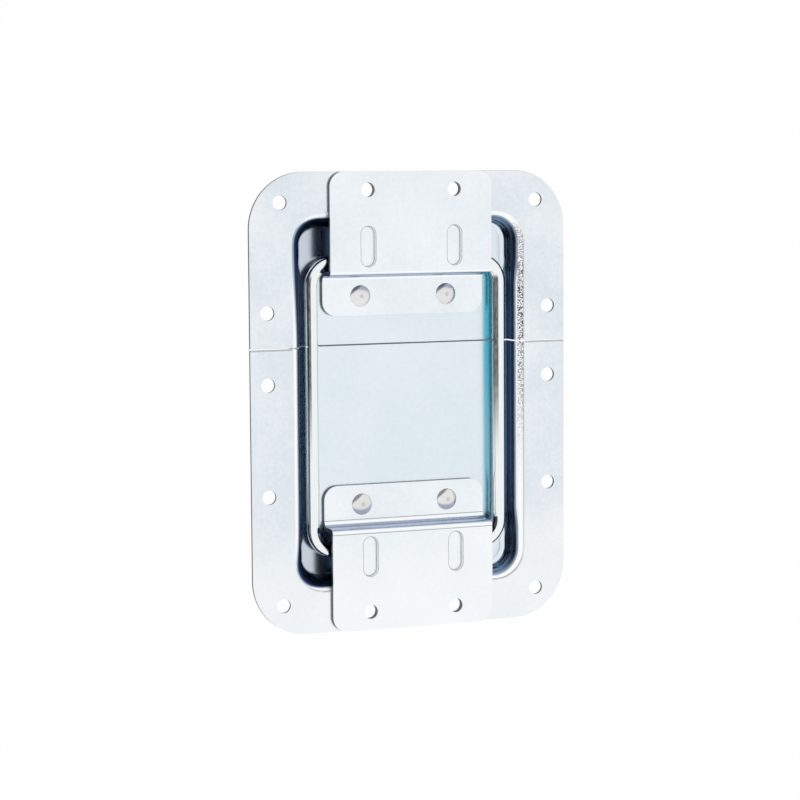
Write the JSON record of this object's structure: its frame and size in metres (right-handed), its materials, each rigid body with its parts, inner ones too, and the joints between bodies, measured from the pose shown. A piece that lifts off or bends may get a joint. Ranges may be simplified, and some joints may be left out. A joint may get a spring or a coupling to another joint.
{
  "type": "recessed case hinge",
  "caption": "Recessed lid-stay hinge for a transport case: pressed steel dish halves with joggled leaves that trap a closed wire loop, so the lid half swings up and over.",
  "frame": {"origin": "middle of the seam between the two halves, on the back face of the mounting flange", "axes": "+X along the hinge line, +Y towards the lid end, +Z out of the case wall; at rest the part lies on its back with the loop folded into the recess"},
  "size_m": [0.127, 0.172, 0.0132],
  "materials": {
    "dish_sheet": "bright zinc plate, blue passivated",
    "leaf_plate": "bright zinc plate, blue passivated",
    "wire": "bright zinc plate on drawn wire",
    "rivet": "bright zinc plate"
  },
  "bodies": {
    "base_side": {"lower_dish": "dish_sheet", "lower_leaf": "leaf_plate", "lower_backing_strip": "leaf_plate", "rivet_lower_left": "rivet", "rivet_lower_right": "rivet"},
    "loop": {"wire_loop": "wire"},
    "lid_side": {"upper_dish": "dish_sheet", "upper_leaf": "leaf_plate", "upper_backing_strip": "leaf_plate", "rivet_upper_left": "rivet", "rivet_upper_right": "rivet"}
  },
  "joints": [
    {"name": "loop_swing", "type": "hinge", "parent": "base_side", "child": "loop", "pos_m": [0, -0.07725, -0.00305], "axis": [1, 0, 0], "range_deg": [0, 140]},
    {"name": "lid_swing", "type": "hinge", "parent": "loop", "child": "lid_side", "pos_m": [0, 0.03125, -0.00305], "axis": [1, 0, 0], "range_deg": [0, 150]}
  ]
}
